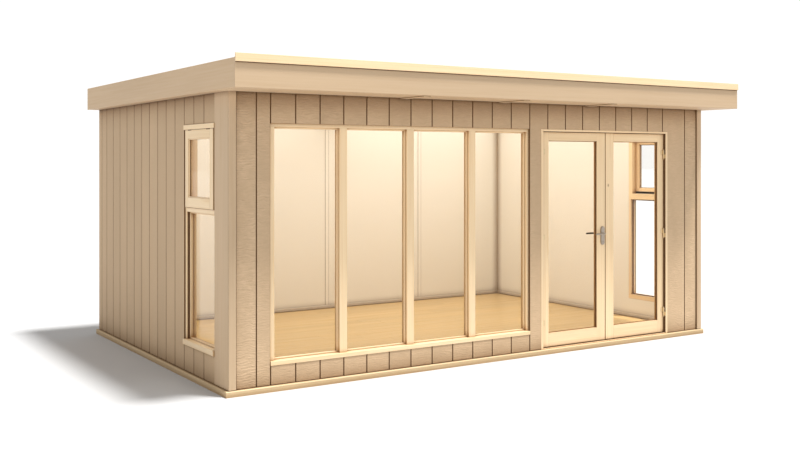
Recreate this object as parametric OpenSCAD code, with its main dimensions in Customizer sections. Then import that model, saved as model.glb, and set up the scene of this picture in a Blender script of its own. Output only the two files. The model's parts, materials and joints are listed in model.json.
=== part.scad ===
// Garden office pod: a flat-roofed timber room on a base plate, with a four-light
// front window, a pair of glazed doors and a tall two-part window in each end wall.
// Millimetres, +Z up. The origin is on the ground, under the centre of the whole box.

/* [Walls] */
// Length of the walls over their outer faces
wall_l = 4917; // [4500:1:6000]
// Depth of the walls over their outer faces
wall_d = 3137; // [2400:1:4200]
// Thickness of every wall, with cladding and lining
wall_t = 90; // [75:1:140]
// Height of the ceiling and wall tops above the ground
wall_top = 2168; // [2100:1:2600]
// Height of the head of the front window and the doorway
opening_top = 1948; // [1800:1:2050]
// Width of the front corner trims
trim_w = 57; // [30:1:90]
// How far the front corner trims stand proud of the cladding
trim_proud = 14; // [6:1:20]

/* [Base] */
// Thickness of the base plate
base_t = 44; // [30:1:120]
// How far the base plate reaches past the walls
base_lip = 22; // [16:1:40]
// Bevel along the top edge of the base plate
base_bevel = 6; // [2:1:12]
// Thickness of the floor boards
floor_t = 18; // [12:1:30]

/* [Roof] */
// Overhang of the roof past the end walls
roof_side = 102; // [60:1:200]
// Overhang of the roof past the front wall
roof_front = 357; // [200:1:600]
// Overhang of the roof past the back wall
roof_back = 37; // [30:1:150]
// Height of the fascia boards
fascia_h = 205; // [190:1:260]
// Thickness of the fascia boards
fascia_t = 20; // [15:1:30]
// Thickness of the insulated roof panel
roof_t = 160; // [120:1:172]
// Thickness of the roof membrane
membrane_t = 4; // [2:1:8]
// Height of the pale strip on the front fascia
strip_h = 58; // [30:1:90]
// Thickness of the pale strip
strip_t = 13; // [8:1:30]
// Height of the strip's lower edge above the fascia's
strip_rise = 176; // [150:1:185]
// Distance between the cover battens under the front overhang
batten_pitch = 980; // [700:1:1200]
// Width of a cover batten
batten_w = 60; // [30:1:100]
// Thickness of a cover batten
batten_t = 8; // [4:1:15]

/* [Front window] */
// Width of wall between the left corner and the front window
left_pier_w = 331; // [200:1:600]
// Width of the front window opening
window_w = 2441; // [1600:1:2700]
// Height of the underside of the front window sill
window_sill_z = 188; // [120:1:900]
// Height of the front window sill board
window_sill_h = 34; // [20:1:60]
// How far the sill stands proud of the cladding
window_sill_proud = 4; // [0:1:30]
// Recess of the front window frame behind the cladding
window_recess = 20; // [5:1:30]
// Visible height of the head rail
window_head_h = 26; // [20:1:80]
// Width of the left end post
window_left_post = 40; // [20:1:80]
// Width of the right end post
window_right_post = 24; // [20:1:80]
// Width of each mullion
mullion_w = 65; // [40:1:100]
// Number of panes in the front window
pane_count = 4; // [2:1:6]
// Recess of the glass behind the face of the front window frame
window_glass_recess = 48; // [10:1:50]
// Thickness of the fixed glass
glass_t = 6; // [4:1:12]

/* [Doors] */
// Width of wall between the front window and the doorway
middle_pier_w = 124; // [80:1:400]
// Width of the doorway over its frame
door_w = 1565; // [1200:1:1700]
// Visible thickness of the door frame
door_frame_t = 25; // [20:1:60]
// Thickness of the head of the door frame
door_head_t = 17; // [14:1:60]
// How far the door frame stands proud of the cladding
door_frame_proud = 2; // [0:1:10]
// Recess of the door leaves behind the cladding
leaf_recess = 24; // [18:1:30]
// Thickness of a door leaf
leaf_t = 40; // [36:1:44]
// Clearance between a leaf and the side of the frame
leaf_side_gap = 5; // [5:1:10]
// Clearance above a leaf, and between a leaf and the stop behind it
leaf_gap = 6; // [6:1:10]
// Clearance between the two leaves where they meet
meeting_gap = 9; // [9:1:14]
// Height of a leaf's bottom edge above the base plate
leaf_lift = 13; // [12:1:30]
// Width of the stile on the hinge side
hinge_stile_w = 77; // [60:1:120]
// Width of the stile where the leaves meet
meeting_stile_w = 99; // [90:1:130]
// Height of a leaf's top rail
leaf_top_rail = 74; // [60:1:140]
// Height of a leaf's bottom rail
leaf_bottom_rail = 115; // [90:1:300]
// Recess of the door glass behind the face of the leaf
leaf_glass_recess = 21; // [8:1:24]
// Thickness of the stop strips of the door frame
stop_t = 15; // [10:1:20]

/* [Hinges and handle] */
// Radius of a hinge knuckle
knuckle_r = 7; // [6:0.5:8]
// Radius of a hinge pin
pin_r = 4; // [3:0.5:5]
// Length of each half of a hinge knuckle
knuckle_h = 38; // [25:1:60]
// Length of the hinge plates away from the knuckle
hinge_plate_w = 32; // [20:1:45]
// Thickness of the hinge plates
hinge_plate_t = 2.5; // [2:0.5:4]
// Distance from a leaf's end to the middle of its end hinge
hinge_end = 190; // [120:1:300]
// Height of the handle spindle above the ground
handle_z = 1016; // [900:1:1100]
// Distance from the meeting edge to the handle spindle
handle_backset = 32; // [30:1:50]
// Height of the handle backplates
plate_h = 167; // [140:1:240]
// Width of the handle backplates
plate_w = 44; // [36:1:50]
// Thickness of the handle backplates
plate_t = 8; // [5:1:10]
// Distance from the spindle up to the top of the backplate
plate_up = 66; // [40:1:90]
// Distance from the spindle down to the keyhole
keyhole_drop = 72; // [50:1:90]
// Radius of the keyhole
keyhole_r = 4; // [3:0.5:8]
// Reach of a lever from its spindle
lever_l = 112; // [90:1:140]
// Radius of a lever's grip
lever_r = 8; // [6:0.5:11]
// Distance from a backplate to the middle of the grip
lever_stand = 36; // [28:1:50]
// Radius of the spindle
spindle_r = 6; // [4:0.5:7]

/* [End windows] */
// Distance from the front wall face to an end window
end_window_y = 247; // [180:1:600]
// Width of an end window
end_window_w = 610; // [500:1:1200]
// Height of the underside of an end window sill
end_sill_z = 250; // [120:1:900]
// Height of an end window sill
end_sill_h = 42; // [25:1:60]
// How far an end window sill stands proud of the cladding
end_sill_proud = 12; // [0:1:20]
// Height of the top of an end window
end_window_top = 1951; // [1800:1:2050]
// Height of the proud head board of an end window
end_head_h = 37; // [20:1:60]
// How far the head board stands proud of the cladding
end_head_proud = 6; // [0:1:20]
// Recess of an end window frame behind the cladding
end_window_recess = 11; // [0:1:25]
// Width of the jambs of an end window
end_jamb_w = 28; // [22:1:60]
// Height of the transom's underside
transom_z = 1280; // [1000:1:1500]
// Height of the transom
transom_h = 33; // [25:1:60]
// Gap between each side of the top sash and the wall
sash_gap = 25; // [10:1:30]
// Clearance over and under the top sash
sash_end_gap = 3; // [2:1:8]
// Width of the frame behind the edges of the top sash
sash_rebate_w = 48; // [40:1:60]
// How far the top sash stands proud of the cladding
sash_proud = 1; // [0:1:20]
// Thickness of the top sash
sash_t = 40; // [30:1:50]
// Width of the sash's side members
sash_stile_w = 66; // [45:1:80]
// Height of the sash's top member
sash_top_h = 66; // [45:1:90]
// Height of the sash's bottom member
sash_bottom_h = 76; // [45:1:100]
// Recess of the fixed lower glass behind the frame face
end_glass_recess = 50; // [20:1:55]
// Recess of the sash glass behind the sash face
sash_glass_recess = 14; // [8:1:25]

/* [Hidden] */

cladding_colour = "tan";
lining_colour = "bisque";
pine_colour = "navajowhite";
glass_colour = "lightcyan";
metal_colour = "silver";

fit = 0.3;            // running clearance of pins, spindles and knuckles
eps = 1;              // how far a cut runs past the faces that it cuts
round_fn = 48;

half_l = wall_l / 2;
box_d = strip_t + roof_front + wall_d + roof_back;
front_y = -box_d / 2 + strip_t + roof_front;
back_y = front_y + wall_d;
inner_x = half_l - wall_t;
inner_front_y = front_y + wall_t;
inner_back_y = back_y - wall_t;
floor_top = base_t + floor_t;
roof_x = half_l + roof_side;
roof_front_y = front_y - roof_front;
roof_back_y = back_y + roof_back;

window_x0 = -half_l + left_pier_w;
window_x1 = window_x0 + window_w;
window_sill_top = window_sill_z + window_sill_h;
window_head_z = opening_top - window_head_h;
window_face_y = front_y + window_recess;
window_glass_y = window_face_y + window_glass_recess;
panes_w = window_w - window_left_post - window_right_post - (pane_count - 1) * mullion_w;
pane_w = panes_w / pane_count;

door_x0 = window_x1 + middle_pier_w;
door_x1 = door_x0 + door_w;
door_mid = (door_x0 + door_x1) / 2;
frame_inner = door_w / 2 - door_frame_t;
leaf_w = frame_inner - leaf_side_gap - meeting_gap / 2;
leaf_z0 = base_t + leaf_lift;
leaf_z1 = opening_top - door_head_t - leaf_gap;
leaf_h = leaf_z1 - leaf_z0;
leaf_y0 = front_y + leaf_recess;
leaf_y1 = leaf_y0 + leaf_t;
stop_y0 = leaf_y1 + leaf_gap;
leaf_glass_w = leaf_w - hinge_stile_w - meeting_stile_w;
leaf_glass_z0 = leaf_z0 + leaf_bottom_rail;
leaf_glass_z1 = leaf_z1 - leaf_top_rail;

// Each hinge axis stands one knuckle clear of the frame and of the leaf's face.
hinge_off = knuckle_r + 1;
hinge_u = frame_inner - hinge_off;
hinge_y = leaf_y0 - hinge_off;
hinge_count = 3;
hinge_pitch = (leaf_h - 2 * hinge_end) / (hinge_count - 1);

handle_x = door_mid - meeting_gap / 2 - handle_backset;

end_window_y0 = front_y + end_window_y;
end_window_y1 = end_window_y0 + end_window_w;
end_sill_top = end_sill_z + end_sill_h;
end_head_z = end_window_top - end_head_h;
transom_top = transom_z + transom_h;
sash_back = sash_t - sash_proud;

// A box given by its two corners.
module block(low, high) {
    translate(low) cube(high - low);
}

// A flat ring around an opening, lying in X and Z, from y0 to y1.
module ring(x0, x1, z0, z1, left_w, right_w, bottom_h, top_h, y0, y1) {
    difference() {
        block([x0, y0, z0], [x1, y1, z1]);
        block([x0 + left_w, y0 - eps, z0 + bottom_h], [x1 - right_w, y1 + eps, z1 - top_h]);
    }
}

// ---- base ----

module base_profile(half_w) {
    polygon([[-half_w, 0], [half_w, 0], [half_w, base_t - base_bevel],
             [half_w - base_bevel, base_t], [-half_w + base_bevel, base_t],
             [-half_w, base_t - base_bevel]]);
}

module base_plate() {
    base_x = half_l + base_lip;
    base_y = wall_d / 2 + base_lip;
    color(pine_colour)
    translate([0, (front_y + back_y) / 2, 0])
    intersection() {
        translate([0, base_y, 0]) rotate([90, 0, 0])
            linear_extrude(2 * base_y) base_profile(base_x);
        translate([-base_x, 0, 0]) rotate([90, 0, 90])
            linear_extrude(2 * base_x) base_profile(base_y);
    }
}

module floor_boards() {
    color("burlywood")
    block([-inner_x, inner_front_y, base_t], [inner_x, inner_back_y, floor_top]);
}

// ---- walls ----

module back_wall() {
    color(cladding_colour)
    block([-half_l, inner_back_y, base_t], [half_l, back_y, wall_top]);
}

module front_wall_piers() {
    spans = [[-half_l, window_x0], [window_x1, door_x0], [door_x1, half_l]];
    color(cladding_colour)
    for (span = spans)
        block([span[0], front_y, base_t], [span[1], inner_front_y, opening_top]);
}

module front_wall_header() {
    color(cladding_colour)
    block([-half_l, front_y, opening_top], [half_l, inner_front_y, wall_top]);
}

module front_wall_under_window() {
    color(cladding_colour)
    block([window_x0, front_y, base_t], [window_x1, inner_front_y, window_sill_z]);
}

module end_wall() {
    block([-half_l, end_window_y1, base_t], [-inner_x, inner_back_y, wall_top]);
}

module end_wall_pier() {
    block([-half_l, inner_front_y, base_t], [-inner_x, end_window_y0, wall_top]);
}

module end_wall_window_panels() {
    block([-half_l, end_window_y0, base_t], [-inner_x, end_window_y1, end_sill_z]);
    block([-half_l, end_window_y0, end_window_top], [-inner_x, end_window_y1, wall_top]);
}

module left_wall() {
    color(cladding_colour) end_wall();
}

module left_wall_pier() {
    color(cladding_colour) end_wall_pier();
}

module left_wall_window_panels() {
    color(cladding_colour) end_wall_window_panels();
}

module right_wall() {
    color(cladding_colour) mirror([1, 0, 0]) end_wall();
}

module right_wall_pier() {
    color(cladding_colour) mirror([1, 0, 0]) end_wall_pier();
}

module right_wall_window_panels() {
    color(cladding_colour) mirror([1, 0, 0]) end_wall_window_panels();
}

module front_corner_trims() {
    color(cladding_colour)
    for (x = [-half_l, half_l - trim_w])
        block([x, front_y - trim_proud, base_t], [x + trim_w, front_y, wall_top]);
}

// ---- roof ----

module roof_panel() {
    color(lining_colour)
    block([-roof_x + fascia_t, roof_front_y + fascia_t, wall_top],
          [roof_x - fascia_t, roof_back_y - fascia_t, wall_top + roof_t]);
}

module roof_membrane() {
    color("dimgray")
    block([-roof_x + fascia_t, roof_front_y + fascia_t, wall_top + roof_t],
          [roof_x - fascia_t, roof_back_y - fascia_t, wall_top + roof_t + membrane_t]);
}

module front_fascia() {
    color(cladding_colour)
    block([-roof_x, roof_front_y, wall_top],
          [roof_x, roof_front_y + fascia_t, wall_top + fascia_h]);
}

module back_fascia() {
    color(cladding_colour)
    block([-roof_x, roof_back_y - fascia_t, wall_top], [roof_x, roof_back_y, wall_top + fascia_h]);
}

module end_fascia() {
    block([-roof_x, roof_front_y + fascia_t, wall_top],
          [-roof_x + fascia_t, roof_back_y - fascia_t, wall_top + fascia_h]);
}

module left_fascia() {
    color(cladding_colour) end_fascia();
}

module right_fascia() {
    color(cladding_colour) mirror([1, 0, 0]) end_fascia();
}

module front_roof_strip() {
    color(pine_colour)
    block([-roof_x, roof_front_y - strip_t, wall_top + strip_rise],
          [roof_x, roof_front_y, wall_top + strip_rise + strip_h]);
}

// Cover battens over the joints of the soffit, from the front wall to the fascia.
module soffit_battens() {
    color(cladding_colour)
    for (i = [-1 : 1])
        block([i * batten_pitch - batten_w / 2, roof_front_y + fascia_t, wall_top - batten_t],
              [i * batten_pitch + batten_w / 2, front_y, wall_top]);
}

// ---- front window ----

module front_window_sill() {
    color(pine_colour)
    block([window_x0, front_y - window_sill_proud, window_sill_z],
          [window_x1, inner_front_y, window_sill_top]);
}

module front_window_head() {
    color(pine_colour)
    block([window_x0, window_face_y, window_head_z], [window_x1, inner_front_y, opening_top]);
}

module window_post(x, w) {
    block([x, window_face_y, window_sill_top], [x + w, inner_front_y, window_head_z]);
}

module front_window_posts() {
    color(pine_colour) {
        window_post(window_x0, window_left_post);
        window_post(window_x1 - window_right_post, window_right_post);
        for (i = [1 : pane_count - 1])
            window_post(window_x0 + window_left_post + i * pane_w + (i - 1) * mullion_w, mullion_w);
    }
}

module front_window_glass() {
    color(glass_colour)
    for (i = [0 : pane_count - 1]) {
        x = window_x0 + window_left_post + i * (pane_w + mullion_w);
        block([x, window_glass_y, window_sill_top], [x + pane_w, window_glass_y + glass_t, window_head_z]);
    }
}

// ---- end windows, drawn facing -Y with X along the wall ----

// Turns a shape drawn that way to face -X at the left wall.
module at_left_wall() {
    translate([-half_l, end_window_y1, 0]) rotate([0, 0, -90]) children();
}

// The jambs, transom and head. Above the transom the frame stands back behind the sash.
module end_window_frame() {
    y0 = end_window_recess;
    x1 = end_window_w;
    sash_lap = sash_rebate_w - sash_gap;
    difference() {
        block([0, y0, end_sill_top], [x1, wall_t, end_head_z]);
        block([end_jamb_w, y0 - eps, end_sill_top - eps], [x1 - end_jamb_w, wall_t + eps, transom_z]);
        block([-eps, y0 - eps, transom_top], [x1 + eps, sash_back, end_head_z + eps]);
        block([sash_rebate_w, y0 - eps, transom_top + sash_lap],
              [x1 - sash_rebate_w, wall_t + eps, end_head_z - sash_lap]);
    }
}

// The sill board under an end window and the head board over it.
module end_window_boards() {
    block([0, -end_sill_proud, end_sill_z], [end_window_w, wall_t, end_sill_top]);
    block([0, -end_head_proud, end_head_z], [end_window_w, wall_t, end_window_top]);
}

module end_window_sash() {
    ring(sash_gap, end_window_w - sash_gap, transom_top + sash_end_gap, end_head_z - sash_end_gap,
         sash_stile_w, sash_stile_w, sash_bottom_h, sash_top_h, -sash_proud, sash_back);
}

module end_window_glass() {
    sash_glass_y = -sash_proud + sash_glass_recess;
    fixed_glass_y = end_window_recess + end_glass_recess;
    sash_glass_x = sash_gap + sash_stile_w;
    block([sash_glass_x, sash_glass_y, transom_top + sash_end_gap + sash_bottom_h],
          [end_window_w - sash_glass_x, sash_glass_y + glass_t, end_head_z - sash_end_gap - sash_top_h]);
    block([end_jamb_w, fixed_glass_y, end_sill_top],
          [end_window_w - end_jamb_w, fixed_glass_y + glass_t, transom_z]);
}

module left_window_frame() {
    color(pine_colour) at_left_wall() end_window_frame();
}

module left_window_boards() {
    color(pine_colour) at_left_wall() end_window_boards();
}

module left_window_sash() {
    color(pine_colour) at_left_wall() end_window_sash();
}

module left_window_glass() {
    color(glass_colour) at_left_wall() end_window_glass();
}

module right_window_frame() {
    color(pine_colour) mirror([1, 0, 0]) at_left_wall() end_window_frame();
}

module right_window_boards() {
    color(pine_colour) mirror([1, 0, 0]) at_left_wall() end_window_boards();
}

module right_window_sash() {
    color(pine_colour) mirror([1, 0, 0]) at_left_wall() end_window_sash();
}

module right_window_glass() {
    color(glass_colour) mirror([1, 0, 0]) at_left_wall() end_window_glass();
}

// ---- door frame ----

// Places a shape drawn for the left half of the doorway, with X from its middle, on both sides.
module both_halves() {
    translate([door_mid, 0, 0]) {
        children();
        mirror([1, 0, 0]) children();
    }
}

module door_jamb() {
    block([-door_w / 2, front_y - door_frame_proud, base_t], [-frame_inner, inner_front_y, opening_top]);
    block([-frame_inner, stop_y0, base_t], [-frame_inner + stop_t, inner_front_y, opening_top]);
}

module door_jambs() {
    color(pine_colour) both_halves() door_jamb();
}

module door_head() {
    head_x = frame_inner;
    stop_x = frame_inner - stop_t;
    color(pine_colour)
    translate([door_mid, 0, 0]) {
        block([-head_x, front_y - door_frame_proud, opening_top - door_head_t],
              [head_x, stop_y0, opening_top]);
        block([-stop_x, stop_y0, opening_top - door_head_t - stop_t],
              [stop_x, inner_front_y, opening_top]);
    }
}

module door_threshold() {
    sill_top = leaf_z0 - leaf_gap;
    stop_x = frame_inner - stop_t;
    color(pine_colour)
    translate([door_mid, 0, 0]) {
        block([-frame_inner, front_y, base_t], [frame_inner, stop_y0, sill_top]);
        block([-stop_x, stop_y0, base_t], [stop_x, inner_front_y, floor_top]);
    }
}

// ---- hinges: the frame half carries the pin, and the leaf half drops on to it ----

module each_hinge() {
    for (i = [0 : hinge_count - 1])
        translate([-hinge_u, hinge_y, leaf_z0 + hinge_end + i * hinge_pitch]) children();
}

module frame_hinge() {
    translate([0, 0, -knuckle_h]) cylinder(r = knuckle_r, h = knuckle_h - fit / 2, $fn = round_fn);
    translate([0, 0, -knuckle_h / 2]) cylinder(r = pin_r, h = knuckle_h * 1.3, $fn = round_fn);
    block([-hinge_off, -front_reach, -knuckle_h], [-hinge_off + hinge_plate_t, 0, -fit / 2]);
}
front_reach = hinge_y - front_y;

module frame_hinges() {
    color(metal_colour) both_halves() each_hinge() frame_hinge();
}

module leaf_hinge() {
    difference() {
        union() {
            translate([0, 0, fit / 2]) cylinder(r = knuckle_r, h = knuckle_h - fit / 2, $fn = round_fn);
            block([0, hinge_off - hinge_plate_t, fit / 2], [hinge_plate_w, hinge_off, knuckle_h]);
        }
        translate([0, 0, -eps]) cylinder(r = pin_r + fit, h = knuckle_h + 2 * eps, $fn = round_fn);
    }
}

module left_door_hinges() {
    color(metal_colour) translate([door_mid, 0, 0]) each_hinge() leaf_hinge();
}

module right_door_hinges() {
    color(metal_colour) translate([door_mid, 0, 0]) mirror([1, 0, 0]) each_hinge() leaf_hinge();
}

// ---- door leaves, drawn as the left leaf with X from the middle of the doorway ----

module leaf_frame() {
    x0 = -frame_inner + leaf_side_gap;
    ring(x0, x0 + leaf_w, leaf_z0, leaf_z1, hinge_stile_w, meeting_stile_w,
         leaf_bottom_rail, leaf_top_rail, leaf_y0, leaf_y1);
}

module leaf_glass() {
    x0 = -frame_inner + leaf_side_gap + hinge_stile_w;
    y0 = leaf_y0 + leaf_glass_recess;
    block([x0, y0, leaf_glass_z0], [x0 + leaf_glass_w, y0 + glass_t, leaf_glass_z1]);
}

// A straight hole or rod along Y at the handle, from y0 to y1.
module handle_rod(r, y0, y1, z = handle_z) {
    translate([handle_x, y1, z]) rotate([90, 0, 0]) cylinder(r = r, h = y1 - y0, $fn = round_fn);
}

module left_door_leaf() {
    color(pine_colour)
    difference() {
        translate([door_mid, 0, 0]) leaf_frame();
        handle_rod(spindle_r + fit, leaf_y0 - eps, leaf_y1 + eps);
        handle_rod(keyhole_r, leaf_y0 - eps, leaf_y1 + eps, handle_z - keyhole_drop);
    }
}

module left_door_glass() {
    color(glass_colour) translate([door_mid, 0, 0]) leaf_glass();
}

module right_door_leaf() {
    color(pine_colour) translate([door_mid, 0, 0]) mirror([1, 0, 0]) leaf_frame();
}

module right_door_glass() {
    color(glass_colour) translate([door_mid, 0, 0]) mirror([1, 0, 0]) leaf_glass();
}

// ---- handle ----

module plate_outline() {
    r = plate_w / 2;
    translate([0, plate_up - r]) circle(r, $fn = round_fn);
    translate([0, plate_up - plate_h + r]) circle(r, $fn = round_fn);
    translate([-r, plate_up - plate_h + r]) square([plate_w, plate_h - plate_w]);
}

module backplate(y1) {
    translate([handle_x, y1, handle_z]) rotate([90, 0, 0]) linear_extrude(plate_t)
        difference() {
            plate_outline();
            circle(spindle_r + fit, $fn = round_fn);
            translate([0, -keyhole_drop]) circle(keyhole_r, $fn = round_fn);
        }
}

module left_door_plates() {
    color(metal_colour) {
        backplate(leaf_y0);
        backplate(leaf_y1 + plate_t);
    }
}

module lever_grip(y) {
    translate([handle_x - lever_l, y, handle_z]) rotate([0, 90, 0])
        cylinder(r = lever_r, h = lever_l, $fn = round_fn);
    translate([handle_x, y, handle_z]) sphere(r = lever_r, $fn = round_fn);
    translate([handle_x - lever_l, y, handle_z]) sphere(r = lever_r, $fn = round_fn);
}

module left_door_levers() {
    outer_y = leaf_y0 - plate_t - lever_stand;
    inner_y = leaf_y1 + plate_t + lever_stand;
    color(metal_colour) {
        handle_rod(spindle_r, outer_y, inner_y);
        lever_grip(outer_y);
        lever_grip(inner_y);
    }
}

base_plate();
floor_boards();
back_wall();
front_wall_piers();
front_wall_header();
front_wall_under_window();
left_wall();
left_wall_pier();
left_wall_window_panels();
right_wall();
right_wall_pier();
right_wall_window_panels();
front_corner_trims();
roof_panel();
roof_membrane();
front_fascia();
back_fascia();
left_fascia();
right_fascia();
front_roof_strip();
soffit_battens();
front_window_sill();
front_window_head();
front_window_posts();
front_window_glass();
left_window_frame();
left_window_boards();
left_window_sash();
left_window_glass();
right_window_frame();
right_window_boards();
right_window_sash();
right_window_glass();
door_jambs();
door_head();
door_threshold();
frame_hinges();
left_door_leaf();
left_door_glass();
left_door_hinges();
left_door_plates();
left_door_levers();
right_door_leaf();
right_door_glass();
right_door_hinges();
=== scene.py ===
# Looks of the garden office pod: boards, joinery, glass, hardware, lining and roof sheet,
# built round the CAD frame. Metres. +X runs along the front and -Y is out of the doors.
import json
import math
import random

import bmesh
import bpy
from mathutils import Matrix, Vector


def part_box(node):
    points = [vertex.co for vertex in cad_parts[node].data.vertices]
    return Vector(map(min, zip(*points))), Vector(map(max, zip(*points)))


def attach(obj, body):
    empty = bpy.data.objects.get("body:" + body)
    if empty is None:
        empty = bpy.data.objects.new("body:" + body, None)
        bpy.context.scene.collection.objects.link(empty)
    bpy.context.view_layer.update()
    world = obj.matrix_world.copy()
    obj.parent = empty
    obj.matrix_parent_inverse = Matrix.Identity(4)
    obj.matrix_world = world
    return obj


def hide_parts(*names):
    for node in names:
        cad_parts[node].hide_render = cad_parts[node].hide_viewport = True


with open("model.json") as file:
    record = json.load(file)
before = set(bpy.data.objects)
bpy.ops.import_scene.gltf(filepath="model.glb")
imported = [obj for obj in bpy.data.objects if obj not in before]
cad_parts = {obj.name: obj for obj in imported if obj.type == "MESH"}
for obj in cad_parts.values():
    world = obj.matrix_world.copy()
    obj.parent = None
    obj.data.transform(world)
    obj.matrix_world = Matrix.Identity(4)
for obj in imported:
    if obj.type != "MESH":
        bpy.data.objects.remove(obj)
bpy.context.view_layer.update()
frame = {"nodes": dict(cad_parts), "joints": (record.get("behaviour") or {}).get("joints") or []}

# ---- sizes that the frame leaves to this script ----

EASE = 0.0015  # rounding of planed edges
FACE_EASE = 0.003  # rounding of the edges of trims, fascias and sills
SKIN = 0.014  # thickness of the wall boards
BOARD_PITCH = 0.2032  # distance between grooves
GROOVE_W = 0.009
GROOVE_D = 0.008
FRONT_END_BOARD = 0.219  # first groove of the front, from either corner
BACK_END_BOARD = 0.092  # corner board at the back, on three walls
BOARD_LIFT = 0.005  # shadow gap between boards and base plate
LEAST_BOARD = 0.15  # no groove comes nearer than this to a corner board's
TRIM_GAP = 0.001  # a board's edge beside a corner trim
SLIVER = 0.004  # an opening's edge nearer than this to a groove is the groove

PANEL_PITCH = 1.22  # width of the lining panels
STRIP_W = 0.036  # cover strips on the lining's joints
STRIP_T = 0.004
STRIP_LINE = 0.004  # painted shadow line along each side of a strip
SKIRTING_H = 0.034
SKIRTING_T = 0.012
SKIRTING_LIFT = 0.003
SOFFIT_T = 0.009

PLANK_W = 0.145
PLANK_L = 2.4
PLANK_GAP = 0.0012
FIRST_PLANK = 0.4  # least length of the first plank in a row
LAST_PLANK = 0.3  # least length of the last one

GASKET = 0.0012  # seal between glass and bead
INNER_BEAD = 0.006  # width of the beads on the room's side
SHADE_STRIP_T = 0.001  # dark strip of painted shade on the reveal of a window or door leaf
STOP_T = 0.015  # door stops
STOP_GAP = 0.006  # clearance between a leaf and its stop
SASH_GAP = 0.003  # clearance under and over a sash
SASH_LAP = 0.023  # how far the frame reaches in behind a sash
LINER_T = 0.002  # lining round the inner reveals of the end windows
STRIP_SHADE = 0.005  # dark strip of painted shadow under the strip along the front fascia
FLAG_W = 0.07  # top hinges of a sash
FLAG_H = 0.004
FLAG_T = 0.0015
FLAG_EASE = 0.001

BASE_BEVEL = 0.006
SILL_FALL = 0.004  # fall of the front sill's top
SILL_LEVEL = 0.03  # level part of that top, at the back
BEAD_W = 0.012  # beads of fixed panes: width, and depth inside
BEAD_D = 0.024  # their depth outside
SASH_BEAD = 0.009  # beads of a sash: width, and depth inside
SASH_BEAD_D = 0.008  # their depth outside
DOOR_BEAD_D = 0.010
DOOR_SHADE_D = 0.014  # depth of the painted shade beside a door's pane
REVEAL_START = 0.007  # from the face of an end window's frame to the painted shade in its reveal
SASH_SHADE_INSET = 0.002  # from the sides of that frame to the painted shade behind its sash
SASH_SHADE_D = 0.004
HAIR_EASE = 0.0002  # rounding of the thinnest strips

SHEET_W = 1.0  # roof sheets
LAP_W = 0.08
LAP_T = 0.0025
FILLET = 0.028  # height and width of the fillet round the roof
UPSTAND_T = 0.003
RIM_DROP = 0.007  # from a fascia's top down to the roof sheet's edge

HINGE_PLATE_T = 0.0025
HINGE_GAP = 0.0003  # running gap between the halves of a hinge
JAMB_REACH = 0.008  # about how far a hinge pin is from the face of its jamb
KNUCKLE_EASE = 0.0008
TIP_H = 0.011  # turned tips of the hinges
SCREW_R = 0.0038
PLATE_STEP = 0.0025  # step round a backplate's edge
PLATE_SCREW = 0.013  # from a backplate's ends to its screws
ROSE = [(0.0135, 0.0), (0.0135, 0.002), (0.0115, 0.0035), (0.0095, 0.0035)]
KEYHOLE_DROP = 0.072  # from the spindle down to the keyhole
KEYHOLE_T = 0.0004
KEY_RING = [(0.0085, 0.0), (0.0085, 0.0008), (0.0078, 0.0014), (0.0062, 0.0014)]
ELBOW = 0.014  # radius of a lever's elbow

U, D, Z = 0, 1, 2
UP = Vector((0, 0, 1))


# ---- places ----

class Face:
    """An outer face. u runs along it, d is the depth behind it and z is the height."""

    def __init__(self, run, plane, inward):
        self.run = run
        self.plane = plane
        self.inward = inward

    def point(self, local):
        u, d, z = local
        place = [0.0, 0.0, z]
        place[self.run] = u
        place[1 - self.run] = self.plane + self.inward * d
        return Vector(place)

    def corners(self, low, high):
        """The lowest and highest (u, d, z) of a box given in the row frame."""
        side = 1 - self.run
        depths = sorted(self.inward * (corner[side] - self.plane) for corner in (low, high))
        return Vector((low[self.run], depths[0], low.z)), Vector((high[self.run], depths[1], high.z))

    def node(self, name):
        return self.corners(*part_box(name))

    def solids(self, name):
        return [self.corners(low, high) for low, high in solids(name)]


def solids(name):
    """The box of each separate solid of a CAD node, by x, then y, then z."""
    mesh = bmesh.new()
    mesh.from_mesh(frame["nodes"][name].data)
    bmesh.ops.remove_doubles(mesh, verts=mesh.verts, dist=1e-5)
    waiting = set(mesh.verts)
    boxes = []
    while waiting:
        reached = [waiting.pop()]
        for vert in reached:
            near = {edge.other_vert(vert) for edge in vert.link_edges} & waiting
            waiting -= near
            reached += near
        places = [vert.co for vert in reached]
        low = Vector([min(p[i] for p in places) for i in range(3)])
        high = Vector([max(p[i] for p in places) for i in range(3)])
        boxes.append((low, high))
    mesh.free()
    return sorted(boxes, key=lambda box: [round(value, 4) for value in box[0]])


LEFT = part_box("left_wall")[0].x
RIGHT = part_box("right_wall")[1].x
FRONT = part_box("front_wall_header")[0].y
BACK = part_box("back_wall")[1].y
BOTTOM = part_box("back_wall")[0].z
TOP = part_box("back_wall")[1].z
BOARD_FOOT = BOTTOM + BOARD_LIFT
WALL_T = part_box("front_wall_header")[1].y - FRONT
ROOM_X0, ROOM_X1 = LEFT + WALL_T, RIGHT - WALL_T
ROOM_Y0, ROOM_Y1 = FRONT + WALL_T, BACK - WALL_T

WORLD = Face(0, 0.0, 1)
FRONT_FACE = Face(0, FRONT, 1)
BACK_FACE = Face(0, BACK, -1)
LEFT_FACE = Face(1, LEFT, 1)
RIGHT_FACE = Face(1, RIGHT, -1)
ENDS = (("left", LEFT_FACE), ("right", RIGHT_FACE))


# ---- meshes ----

def spot(along, level, a, b):
    """A place from its level along an axis and its places along the two axes after that one."""
    place = [0.0, 0.0, 0.0]
    place[along] = level
    place[(along + 1) % 3] = a
    place[(along + 2) % 3] = b
    return place


def flat(a, b, start, end):
    """A ring's profile with a plain rectangle, a to b in from the opening at levels start to end."""
    return [(a, start), (b, start), (b, end), (a, end)]


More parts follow.
